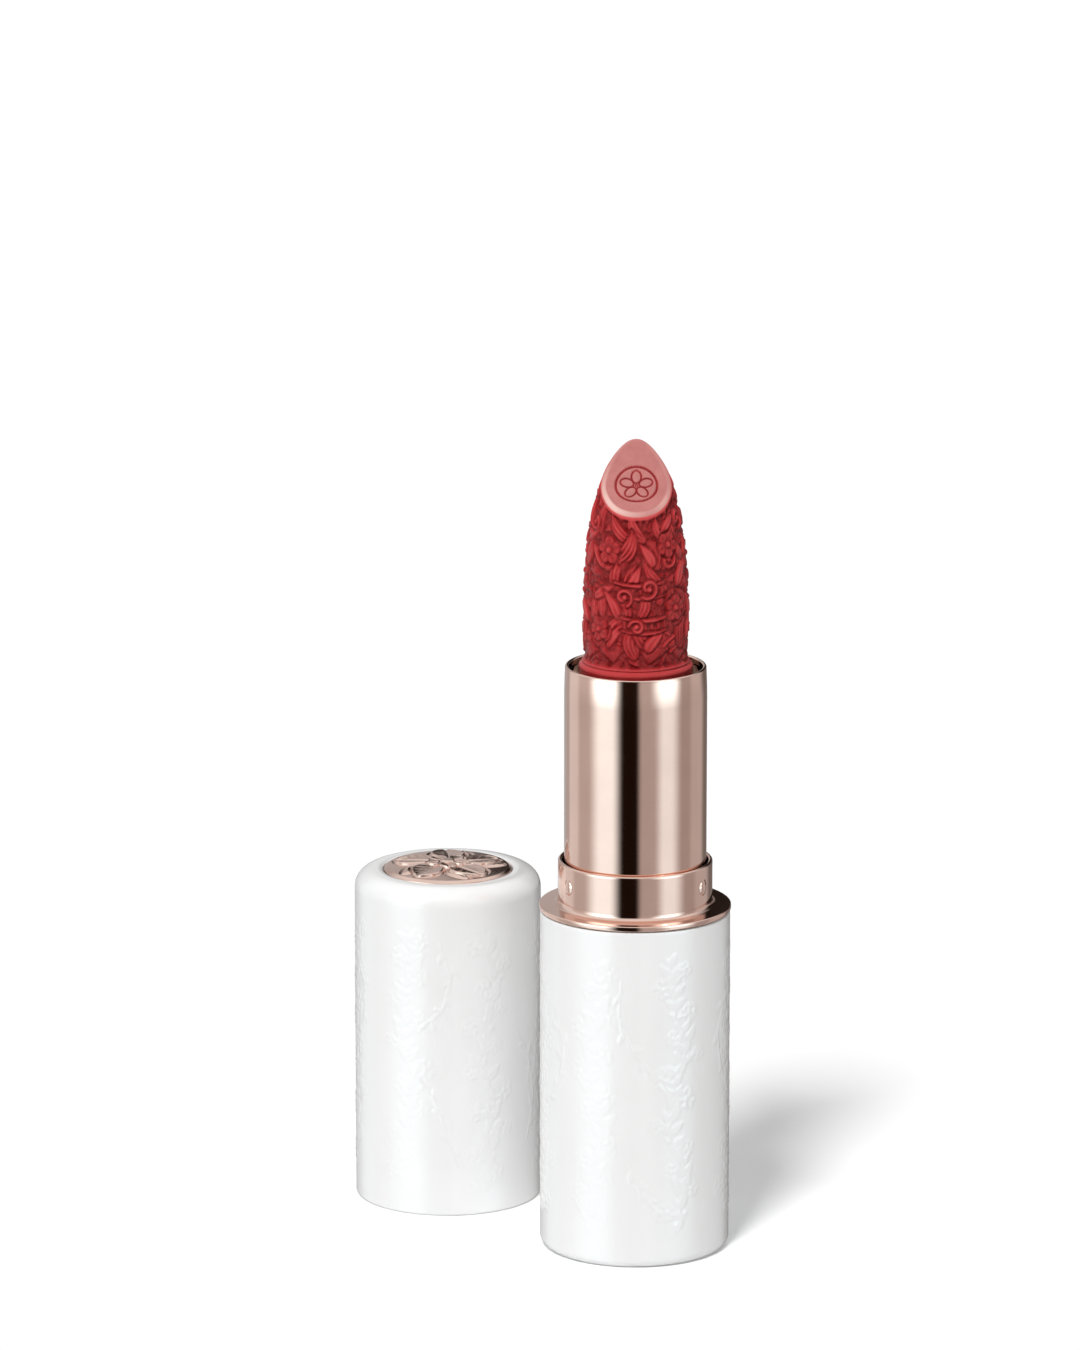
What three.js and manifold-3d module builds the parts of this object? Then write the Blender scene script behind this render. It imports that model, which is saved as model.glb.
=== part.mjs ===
// A twist-up lipstick case: an embossed white base and cap, a rose-gold collar, tube and medallion, and a carved red bullet.
// Millimetres, +Z up. The origin is the centre of the base's underside. The case stands open with its bullet raised, and its cap stands beside it.
import * as THREE from "three";
import { mergeVertices } from "three/addons/utils/BufferGeometryUtils.js";
import Module from "manifold-3d";

const wasm = await Module();
wasm.setup();

// Driving dimensions
const BASE_R = 11.0; // outer radius of base and cap
const BASE_WALL_R = 9.6; // inner radius of the base shell
const BASE_TOP = 39.8; // top edge of the base shell
const BASE_EDGE = 1.0; // rounding of the base's lower edge
const BASE_FLOOR = 1.9; // top of the base shell's floor

const LABEL_R = 8.0;
const LABEL_T = 0.3;
const RECESS_R = 8.2; // recess that holds the label
const RECESS_D = 0.45;

const WEIGHT_R = 7.9;
const WEIGHT_Z = [2.1, 8.5];

const LINER_R = 9.45;
const LINER_Z = [2.1, 39.5];
const LINER_FLOOR = [21.8, 23.3];
const LINER_BORE_R = 8.5; // bore that seats the guide tube's foot
const LINER_MOUTH_R = 8.92; // wider mouth that seats the collar's skirt
const LINER_MOUTH_Z = 34.2;

const FLANGE_Z = [39.9, 40.55];
const COLLAR_R = 8.85;
const COLLAR_BORE_R = 8.35;
const COLLAR_TOP = 45.75;
const COLLAR_SKIRT_Z = 34.8;
const BUMP_Z = 43.4; // centre height of the snap bumps
const BUMP_ANGLES = [-150, -30, 90]; // degrees from +X

const TUBE_R = 8.15;
const TUBE_BORE_R = 7.8;
const TUBE_LIP_R = 7.62; // inner radius of the rolled rim
const TUBE_Z = [29.6, 68.45];

const CAM_R = 7.7;
const CAM_BORE_R = 7.1;
const CAM_Z = [29.6, 65.4];

const GUIDE_R = 7.0;
const GUIDE_BORE_R = 6.56;
const GUIDE_FOOT_R = 8.35;
const GUIDE_Z = [23.5, 65.4];
const GUIDE_FOOT_TOP = 28.6;

const RING_R = 7.48; // damping ring, to the middle of its section
const RING_SECTION_R = 0.38;
const RING_Z = 29.1;

const TRAVEL = 27.0; // rise of the bullet from stored to full height
const PITCH = 27.0; // rise per full turn of the tube
const LUG_R = 0.8;
const LUG_TIP_R = 7.55;
const LUG_Z = 60.6; // centre of the lugs with the bullet raised
const SLOT_HALF = 1.05; // half width of the straight and helical slots
const SLOT_OVERRUN = 10.5; // degrees each helical slot runs past the lug's last position

const CUP_R = 6.45;
const CUP_BORE_R = 6.05;
const CUP_Z = [59.6, 68.1];
const CUP_FLOOR = 0.9;
const CUP_VENT_R = 1.5;

const SHANK_R = 5.95;
const BULLET_R = 6.16;
const FOOT_R = 6.46;
const BULLET_FOOT_Z = 68.2;
// the body above its straight part: radius, height
const BULLET_OGIVE = [
  [BULLET_R, 77.75],
  [5.88, 81.25],
  [5.72, 83.35],
  [5.44, 85.35],
  [5.1, 86.85],
  [4.7, 88.15],
  [4.31, 89.65],
  [3.9, 90.95],
  [3.4, 91.95],
  [2.75, 92.95],
  [2.1, 94.05],
  [1.55, 95.1],
  [0, 95.6],
];
const FACE_AXIS_Z = 92.35; // where the slanted face crosses the axis
const FACE_ANGLE = 48.2; // slope of the slanted face above the horizontal, degrees

const CAP_AT = [-21.7, 20.3]; // where the cap stands
const CAP_WALL_R = 9.75;
const CAP_H = 39.3;
const CAP_SHOULDER = 2.2;
const CAP_CEILING = 37.2;
const MEDALLION_SEAT_R = 7.6;
const MEDALLION_SEAT_Z = 38.2;
const CAP_LINER_R = 9.65;
const CAP_LINER_BORE_R = 9.08;
const CAP_LINER_Z = [0.35, 37.0];
const CAP_LINER_CEILING = 36.2;
const MEDALLION_R = 7.32;
const MEDALLION_Z = [38.5, 40.3];
const PAD_R = 6.8;
const PAD_Z = [38.25, 38.4];

const SEGMENTS = 40;
const rad = THREE.MathUtils.degToRad;

// Shared vertices merged, collapsed triangles dropped, faces turned outwards.
function cleaned(source) {
  const bare = source.index ? source.clone() : source.clone();
  bare.deleteAttribute("normal");
  bare.deleteAttribute("uv");
  const merged = mergeVertices(bare, 1e-4);
  const index = [];
  const p = merged.attributes.position;
  const a = new THREE.Vector3();
  const b = new THREE.Vector3();
  const c = new THREE.Vector3();
  let volume = 0;
  for (let i = 0; i < merged.index.count; i += 3) {
    const [u, v, w] = [0, 1, 2].map((k) => merged.index.getX(i + k));
    if (u === v || v === w || w === u) continue;
    index.push(u, v, w);
    a.fromBufferAttribute(p, u);
    b.fromBufferAttribute(p, v);
    c.fromBufferAttribute(p, w);
    volume += a.dot(b.cross(c)) / 6;
  }
  if (volume < 0)
    for (let i = 0; i < index.length; i += 3)
      [index[i + 1], index[i + 2]] = [index[i + 2], index[i + 1]];
  const made = new THREE.BufferGeometry();
  made.setAttribute("position", p);
  made.setIndex(index);
  return made;
}

// A profile of [radius, height] pairs turned about the Z axis.
function turned(profile, segments = SEGMENTS) {
  const onAxis = profile[0][0] === 0 && profile[profile.length - 1][0] === 0;
  const points = (onAxis ? profile : [...profile, profile[0]]).map(
    ([r, z]) => new THREE.Vector2(r, z),
  );
  const lathe = new THREE.LatheGeometry(points, segments);
  lathe.rotateX(Math.PI / 2);
  lathe.rotateZ(Math.PI / 2);
  return cleaned(lathe);
}

// Points of a quarter round from one angle to another, in degrees from the outward direction.
function arc(r, z, radius, from, to, steps) {
  return Array.from({ length: steps + 1 }, (_, i) => {
    const t = rad(from + ((to - from) * i) / steps);
    return [r + radius * Math.cos(t), z + radius * Math.sin(t)];
  });
}

function solid(geometry) {
  const g = cleaned(geometry);
  return new wasm.Manifold(
    new wasm.Mesh({
      numProp: 3,
      vertProperties: new Float32Array(g.attributes.position.array),
      triVerts: new Uint32Array(g.index.array),
    }),
  );
}

function geometryOf(manifold) {
  const mesh = manifold.getMesh();
  const position = new Float32Array(mesh.numVert * 3);
  for (let i = 0; i < mesh.numVert; i++)
    position.set(
      mesh.vertProperties.subarray(i * mesh.numProp, i * mesh.numProp + 3),
      i * 3,
    );
  const made = new THREE.BufferGeometry();
  made.setAttribute("position", new THREE.BufferAttribute(position, 3));
  made.setIndex(new THREE.BufferAttribute(new Uint32Array(mesh.triVerts), 1));
  return made;
}

// A band of rectangular section that climbs round the axis: the space of one helical slot.
function helicalBand(inner, outer, halfHeight, startAngle, endAngle, heightAt) {
  const steps = 56;
  const position = [];
  const index = [];
  for (let i = 0; i <= steps; i++) {
    const t = startAngle + ((endAngle - startAngle) * i) / steps;
    const z = heightAt(t);
    for (const [r, dz] of [
      [inner, -halfHeight],
      [outer, -halfHeight],
      [outer, halfHeight],
      [inner, halfHeight],
    ])
      position.push(r * Math.cos(t), r * Math.sin(t), z + dz);
  }
  for (let i = 0; i < steps; i++)
    for (let k = 0; k < 4; k++) {
      const a = i * 4 + k;
      const b = i * 4 + ((k + 1) % 4);
      index.push(a, b, b + 4, a, b + 4, a + 4);
    }
  const last = steps * 4;
  index.push(0, 2, 1, 0, 3, 2, last, last + 1, last + 2, last, last + 2, last + 3);
  const made = new THREE.BufferGeometry();
  made.setAttribute("position", new THREE.Float32BufferAttribute(position, 3));
  made.setIndex(index);
  return cleaned(made);
}

// A round pin along the radial direction at an angle about Z.
function radialPin(radius, from, to, angle, z, sides = 16) {
  const pin = new THREE.CylinderGeometry(radius, radius, to - from, sides);
  pin.rotateZ(Math.PI / 2);
  pin.translate((from + to) / 2, 0, z);
  pin.rotateZ(angle);
  return pin;
}

const material = (color, roughness, metalness) =>
  new THREE.MeshStandardMaterial({ color, roughness, metalness });
const whiteLacquer = () => material(0xf2f2f0, 0.16, 0.0);
const roseGold = () => material(0xd9ab98, 0.14, 1.0);
const clearGrey = () => material(0xd8d4d0, 0.4, 0.0);

const part = new THREE.Group();
const base = new THREE.Group();
const turning = new THREE.Group();
const rising = new THREE.Group();
const cap = new THREE.Group();
cap.position.set(CAP_AT[0], CAP_AT[1], 0);
part.add(base, turning, rising, cap);

function add(group, name, geometry, look) {
  const mesh = new THREE.Mesh(geometry, look);
  mesh.name = name;
  group.add(mesh);
  return mesh;
}

// Base
add(
  base,
  "base_shell",
  turned([
    [0, RECESS_D],
    [RECESS_R, RECESS_D],
    [RECESS_R, 0],
    ...arc(BASE_R - BASE_EDGE, BASE_EDGE, BASE_EDGE, -90, 0, 4),
    [BASE_R, BASE_TOP - 0.3],
    [BASE_R - 0.25, BASE_TOP],
    [BASE_WALL_R, BASE_TOP],
    [BASE_WALL_R, BASE_FLOOR],
    [0, BASE_FLOOR],
  ]),
  whiteLacquer(),
);

add(
  base,
  "shade_label",
  turned([
    [0, 0],
    [LABEL_R, 0],
    [LABEL_R, LABEL_T],
    [0, LABEL_T],
  ]),
  material(0xf4f2ee, 0.55, 0.0),
);

add(
  base,
  "base_weight",
  turned([
    [0, WEIGHT_Z[0]],
    [WEIGHT_R - 0.4, WEIGHT_Z[0]],
    [WEIGHT_R, WEIGHT_Z[0] + 0.4],
    [WEIGHT_R, WEIGHT_Z[1] - 0.4],
    [WEIGHT_R - 0.4, WEIGHT_Z[1]],
    [0, WEIGHT_Z[1]],
  ]),
  material(0x9a9c9e, 0.4, 0.9),
);

add(
  base,
  "base_liner",
  turned([
    [0, LINER_FLOOR[0]],
    [RECESS_R, LINER_FLOOR[0]],
    [RECESS_R, LINER_Z[0]],
    [LINER_R, LINER_Z[0]],
    [LINER_R, LINER_Z[1]],
    [LINER_MOUTH_R, LINER_Z[1]],
    [LINER_MOUTH_R, LINER_MOUTH_Z],
    [LINER_BORE_R, LINER_MOUTH_Z],
    [LINER_BORE_R, LINER_FLOOR[1]],
    [0, LINER_FLOOR[1]],
  ]),
  clearGrey(),
);

// Collar: skirt, flange, fillet, wall with a rounded top, and three snap bumps
{
  let collar = solid(
    turned([
      [COLLAR_BORE_R, COLLAR_SKIRT_Z],
      [COLLAR_R - 0.05, COLLAR_SKIRT_Z],
      [COLLAR_R - 0.05, FLANGE_Z[0]],
      [BASE_R - 0.12, FLANGE_Z[0]],
      [BASE_R, FLANGE_Z[0] + 0.12],
      [BASE_R, FLANGE_Z[1] - 0.15],
      [BASE_R - 0.15, FLANGE_Z[1]],
      ...arc(COLLAR_R + 0.6, FLANGE_Z[1] + 0.6, 0.6, 270, 180, 3),
      ...arc(COLLAR_R - 0.25, COLLAR_TOP - 0.25, 0.25, 0, 180, 4),
    ]),
  );
  for (const angle of BUMP_ANGLES) {
    const bump = new THREE.SphereGeometry(1, 10, 8);
    bump.scale(0.32, 0.72, 0.9);
    bump.translate(COLLAR_R - 0.1, 0, BUMP_Z);
    bump.rotateZ(rad(angle));
    collar = collar.add(solid(bump));
  }
  add(base, "collar", geometryOf(collar), roseGold());
}

// Guide tube: a foot in the liner and two straight slots for the lugs
{
  let guide = solid(
    turned([
      [GUIDE_BORE_R, GUIDE_Z[0]],
      [GUIDE_FOOT_R, GUIDE_Z[0]],
      [GUIDE_FOOT_R, GUIDE_FOOT_TOP],
      [GUIDE_R, GUIDE_FOOT_TOP],
      [GUIDE_R, GUIDE_Z[1]],
      [GUIDE_BORE_R, GUIDE_Z[1]],
    ]),
  );
  const bottom = LUG_Z - TRAVEL - SLOT_HALF;
  const top = LUG_Z + SLOT_HALF;
  for (const side of [-1, 1]) {
    const slot = new THREE.BoxGeometry(2, 2 * SLOT_HALF, top - bottom);
    slot.translate(side * GUIDE_R, 0, (top + bottom) / 2);
    guide = guide.subtract(solid(slot));
  }
  add(base, "guide_tube", geometryOf(guide), material(0xe6e2da, 0.42, 0.0));
}

{
  const ring = new THREE.TorusGeometry(RING_R, RING_SECTION_R, 8, SEGMENTS);
  ring.translate(0, 0, RING_Z);
  add(base, "damping_ring", cleaned(ring), material(0xd9d6cf, 0.6, 0.0));
}

// Turning group: the visible tube and the helical cam fixed inside it
add(
  turning,
  "tube_shell",
  turned([
    [TUBE_BORE_R, TUBE_Z[0]],
    [TUBE_R, TUBE_Z[0]],
    [TUBE_R, TUBE_Z[1] - 0.3],
    [TUBE_R - 0.1, TUBE_Z[1] - 0.08],
    [TUBE_R - 0.25, TUBE_Z[1]],
    [TUBE_LIP_R + 0.08, TUBE_Z[1] - 0.05],
    [TUBE_LIP_R, TUBE_Z[1] - 0.3],
    [TUBE_LIP_R, TUBE_Z[1] - 0.7],
    [TUBE_BORE_R, TUBE_Z[1] - 1.1],
  ]),
  roseGold(),
);

{
  let cam = solid(
    turned([
      [CAM_BORE_R, CAM_Z[0]],
      [CAM_R, CAM_Z[0]],
      [CAM_R, CAM_Z[1]],
      [CAM_BORE_R, CAM_Z[1]],
    ]),
  );
  const lead = Math.atan(PITCH / (2 * Math.PI * ((CAM_R + CAM_BORE_R) / 2)));
  for (const lug of [0, Math.PI]) {
    const band = helicalBand(
      CAM_BORE_R - 0.3,
      CAM_R + 0.3,
      SLOT_HALF / Math.cos(lead),
      lug - rad(SLOT_OVERRUN),
      lug + (2 * Math.PI * TRAVEL) / PITCH + rad(SLOT_OVERRUN),
      (t) => LUG_Z - (PITCH * (t - lug)) / (2 * Math.PI),
    );
    cam = cam.subtract(solid(band));
  }
  add(turning, "cam_sleeve", geometryOf(cam), material(0xefede8, 0.4, 0.0));
}

// Rising group: the carrier cup with its lugs, and the bullet
{
  let cup = solid(
    turned([
      [CUP_VENT_R, CUP_Z[0]],
      [CUP_R, CUP_Z[0]],
      [CUP_R, CUP_Z[1]],
      [CUP_BORE_R, CUP_Z[1]],
      [CUP_BORE_R, CUP_Z[0] + CUP_FLOOR],
      [CUP_VENT_R, CUP_Z[0] + CUP_FLOOR],
    ]),
  );
  for (const angle of [0, Math.PI])
    cup = cup.add(solid(radialPin(LUG_R, CUP_R - 0.3, LUG_TIP_R, angle, LUG_Z)));
  add(rising, "carrier_cup", geometryOf(cup), material(0xe9e5de, 0.4, 0.0));
}

{
  const body = solid(
    turned([
      [0, CUP_Z[0] + CUP_FLOOR + 0.2],
      [SHANK_R - 0.3, CUP_Z[0] + CUP_FLOOR + 0.2],
      [SHANK_R, CUP_Z[0] + CUP_FLOOR + 0.5],
      [SHANK_R, BULLET_FOOT_Z],
      [FOOT_R, BULLET_FOOT_Z],
      [FOOT_R, BULLET_FOOT_Z + 0.75],
      [FOOT_R - 0.12, BULLET_FOOT_Z + 1.15],
      [BULLET_R, BULLET_FOOT_Z + 1.5],
      ...BULLET_OGIVE,
    ]),
  );
  // everything in front of the slanted face goes
  const knife = new THREE.BoxGeometry(40, 40, 40);
  knife.translate(0, 0, 20);
  knife.rotateX(rad(FACE_ANGLE));
  knife.translate(0, 0, FACE_AXIS_Z);
  add(
    rising,
    "lipstick_bullet",
    geometryOf(body.subtract(solid(knife))),
    material(0xa52c30, 0.42, 0.0),
  );
}

// Cap
add(
  cap,
  "cap_shell",
  turned([
    [0, CAP_CEILING],
    [CAP_WALL_R, CAP_CEILING],
    [CAP_WALL_R, 0],
    [BASE_R - 0.15, 0],
    [BASE_R, 0.15],
    ...arc(BASE_R - CAP_SHOULDER, CAP_H - CAP_SHOULDER, CAP_SHOULDER, 0, 90, 5),
    [MEDALLION_SEAT_R + 0.3, CAP_H - 0.05],
    [MEDALLION_SEAT_R, CAP_H - 0.3],
    [MEDALLION_SEAT_R, MEDALLION_SEAT_Z],
    [0, MEDALLION_SEAT_Z],
  ]),
  whiteLacquer(),
);

add(
  cap,
  "cap_liner",
  turned([
    [0, CAP_LINER_CEILING],
    [CAP_LINER_BORE_R, CAP_LINER_CEILING],
    [CAP_LINER_BORE_R, 2.2],
    [CAP_LINER_BORE_R - 0.1, 1.9],
    [CAP_LINER_BORE_R - 0.1, 1.5],
    [CAP_LINER_BORE_R, 1.2],
    [CAP_LINER_BORE_R + 0.1, CAP_LINER_Z[0]],
    [CAP_LINER_R, CAP_LINER_Z[0]],
    [CAP_LINER_R, CAP_LINER_Z[1]],
    [0, CAP_LINER_Z[1]],
  ]),
  clearGrey(),
);

add(
  cap,
  "medallion_pad",
  turned([
    [0, PAD_Z[0]],
    [PAD_R, PAD_Z[0]],
    [PAD_R, PAD_Z[1]],
    [0, PAD_Z[1]],
  ]),
  material(0xcfcfc8, 0.8, 0.0),
);

// A domed disc under a raised five-petalled blossom
{
  const [low, high] = MEDALLION_Z;
  let medallion = solid(
    turned([
      [0, low],
      [MEDALLION_R - 0.1, low],
      [MEDALLION_R, low + 0.1],
      [MEDALLION_R, low + 0.75],
      [MEDALLION_R - 0.25, low + 0.95],
      [4.6, high - 0.45],
      [2.4, high - 0.3],
      [0, high - 0.25],
    ]),
  );
  for (let i = 0; i < 5; i++) {
    const petal = new THREE.SphereGeometry(1, 12, 8);
    petal.scale(2.1, 1.55, 0.55);
    petal.translate(3.1, 0, high - 0.55);
    petal.rotateZ(rad(90 + 72 * i));
    medallion = medallion.add(solid(petal));
  }
  add(cap, "cap_medallion", geometryOf(medallion), roseGold());
}

export default part;
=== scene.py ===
import math

import bpy
import numpy as np
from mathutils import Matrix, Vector

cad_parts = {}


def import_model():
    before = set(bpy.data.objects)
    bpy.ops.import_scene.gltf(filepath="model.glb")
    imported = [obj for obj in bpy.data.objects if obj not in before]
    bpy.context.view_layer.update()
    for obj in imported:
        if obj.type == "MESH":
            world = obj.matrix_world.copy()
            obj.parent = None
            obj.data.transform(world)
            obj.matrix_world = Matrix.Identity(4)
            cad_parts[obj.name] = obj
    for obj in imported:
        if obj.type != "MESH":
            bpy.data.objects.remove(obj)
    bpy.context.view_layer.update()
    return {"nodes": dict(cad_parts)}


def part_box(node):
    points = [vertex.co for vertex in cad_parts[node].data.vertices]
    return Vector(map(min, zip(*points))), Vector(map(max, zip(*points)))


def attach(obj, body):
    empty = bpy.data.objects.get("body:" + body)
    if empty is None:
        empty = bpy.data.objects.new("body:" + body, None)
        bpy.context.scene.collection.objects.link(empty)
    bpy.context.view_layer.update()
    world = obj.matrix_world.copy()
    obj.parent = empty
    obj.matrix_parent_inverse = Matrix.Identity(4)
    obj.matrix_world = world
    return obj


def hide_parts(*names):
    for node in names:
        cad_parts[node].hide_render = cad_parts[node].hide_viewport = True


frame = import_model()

MM = 0.001
TAU = 2 * math.pi


def centre_of(*nodes):
    lo = Vector((1e9,) * 3)
    hi = Vector((-1e9,) * 3)
    for n in nodes:
        a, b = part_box(n)
        lo = Vector(map(min, lo, a))
        hi = Vector(map(max, hi, b))
    return (lo + hi) / 2 / MM, lo / MM, hi / MM


_, base_lo, base_hi = centre_of("base_shell")
cap_mid, cap_lo, cap_hi = centre_of("cap_shell")
_, tube_lo, tube_hi = centre_of("tube_shell")
_, collar_lo, collar_hi = centre_of("collar")
_, med_lo, med_hi = centre_of("cap_medallion")

R_OUT = base_hi.x  # 11.0
BASE_TOP = base_hi.z
CAP_X, CAP_Y = cap_mid.x, cap_mid.y
CAP_TOP = cap_hi.z
TUBE_R = tube_hi.x
RIM_Z = tube_hi.z


# ---------------------------------------------------------------- mesh helpers
def smooth(a, b, x):
    t = np.clip((x - a) / (b - a), 0, 1)
    return t * t * (3 - 2 * t)


def line(p, q, n):
    t = np.linspace(0, 1, n + 1)[:, None]
    return (np.array(p) * (1 - t) + np.array(q) * t).tolist()


def arc(r, z, radius, start, end, n):
    a = np.radians(np.linspace(start, end, n + 1))
    return np.stack([r + radius * np.cos(a), z + radius * np.sin(a)], 1).tolist()


def joined(*parts):
    out = []
    for part in parts:
        for p in part:
            if not out or math.hypot(p[0] - out[-1][0], p[1] - out[-1][1]) > 1e-5:
                out.append([float(p[0]), float(p[1])])
    return np.array(out)


def mesh_object(name, verts, quads, tris=(), sharp=None, attributes=None):
    """A mesh from arrays in millimetres; faces are turned outwards."""
    quads = np.asarray(quads, np.int64).reshape(-1, 4)
    tris = np.asarray(tris, np.int64).reshape(-1, 3)
    v = np.asarray(verts, float)
    cut = np.concatenate([quads[:, [0, 1, 2]], quads[:, [0, 2, 3]], tris])
    a, b, c = v[cut[:, 0]], v[cut[:, 1]], v[cut[:, 2]]
    if np.einsum("ij,ij->i", a, np.cross(b, c)).sum() < 0:
        quads, tris = quads[:, ::-1], tris[:, ::-1]
    me = bpy.data.meshes.new(name)
    me.vertices.add(len(v))
    me.vertices.foreach_set("co", (v * MM).astype(np.float32).ravel())
    loops = np.concatenate([quads.ravel(), tris.ravel()])
    me.loops.add(len(loops))
    me.loops.foreach_set("vertex_index", loops.astype(np.int32))
    starts = np.concatenate(
        [np.arange(len(quads)) * 4, len(quads) * 4 + np.arange(len(tris)) * 3]
    )
    me.polygons.add(len(starts))
    me.polygons.foreach_set("loop_start", starts.astype(np.int32))
    me.polygons.foreach_set("use_smooth", np.ones(len(starts), bool))
    for key, values in (attributes or {}).items():
        at = me.attributes.new(key, "FLOAT", "POINT")
        at.data.foreach_set("value", np.asarray(values, np.float32).ravel())
    me.update(calc_edges=True)
    me.validate()
    if sharp is not None:
        me.set_sharp_from_angle(angle=math.radians(sharp))
    o = bpy.data.objects.new(name, me)
    bpy.context.scene.collection.objects.link(o)
    return o


def grid_faces(rows, segs, wrap_rows=False, first=0):
    i = np.arange(rows if wrap_rows else rows - 1)[:, None]
    j = np.arange(segs)[None, :]
    a = i * segs + j
    b = i * segs + (j + 1) % segs
    k = (i + 1) % rows
    c = k * segs + (j + 1) % segs
    d = k * segs + j
    return (np.stack([a, b, c, d], -1) + first).reshape(-1, 4)


def profile_normals(rows, closed):
    nxt = np.roll(rows, -1, 0)
    prv = np.roll(rows, 1, 0)
    if not closed:
        nxt[-1], prv[0] = rows[-1], rows[0]
    t = nxt - prv
    t /= np.maximum(np.linalg.norm(t, axis=1, keepdims=True), 1e-9)
    n = np.stack([t[:, 1], -t[:, 0]], 1)
    area = np.sum(rows[:, 0] * nxt[:, 1] - nxt[:, 0] * rows[:, 1])
    return n if area > 0 else -n


def lathe(name, rows, segs, relief=None, at=(0.0, 0.0), sharp=None, attributes=None):
    """Turns (radius, height) rows about the vertical axis. Rows on the axis at both ends become poles; otherwise the profile closes on itself."""
    rows = np.asarray(rows, float)
    poles = rows[0, 0] < 1e-6 and rows[-1, 0] < 1e-6
    theta = np.arange(segs) * TAU / segs
    normal = profile_normals(rows, not poles)
    h = np.zeros((len(rows), segs)) if relief is None else relief(theta, rows)
    r = rows[:, :1] + h * normal[:, :1]
    z = rows[:, 1:] + h * normal[:, 1:]
    x = at[0] + r * np.cos(theta)
    y = at[1] + r * np.sin(theta)
    v = np.stack([x, y, z * np.ones_like(x)], -1)
    extra = {k: f(theta, rows, h) for k, f in (attributes or {}).items()}
    if poles:
        body = v[1:-1].reshape(-1, 3)
        n = len(rows) - 2
        verts = np.concatenate([body, [v[0, 0]], [v[-1, 0]]])
        quads = grid_faces(n, segs)
        j = np.arange(segs)
        low = np.stack([(j + 1) % segs, j, np.full(segs, n * segs)], 1)
        top = (n - 1) * segs
        high = np.stack([top + j, top + (j + 1) % segs, np.full(segs, n * segs + 1)], 1)
        extra = {
            k: np.concatenate([e[1:-1].ravel(), [e[0, 0], e[-1, 0]]])
            for k, e in extra.items()
        }
        return mesh_object(name, verts, quads, np.concatenate([low, high]), sharp, extra)
    extra = {k: e.ravel() for k, e in extra.items()}
    return mesh_object(
        name, v.reshape(-1, 3), grid_faces(len(rows), segs, True), (), sharp, extra
    )


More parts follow.
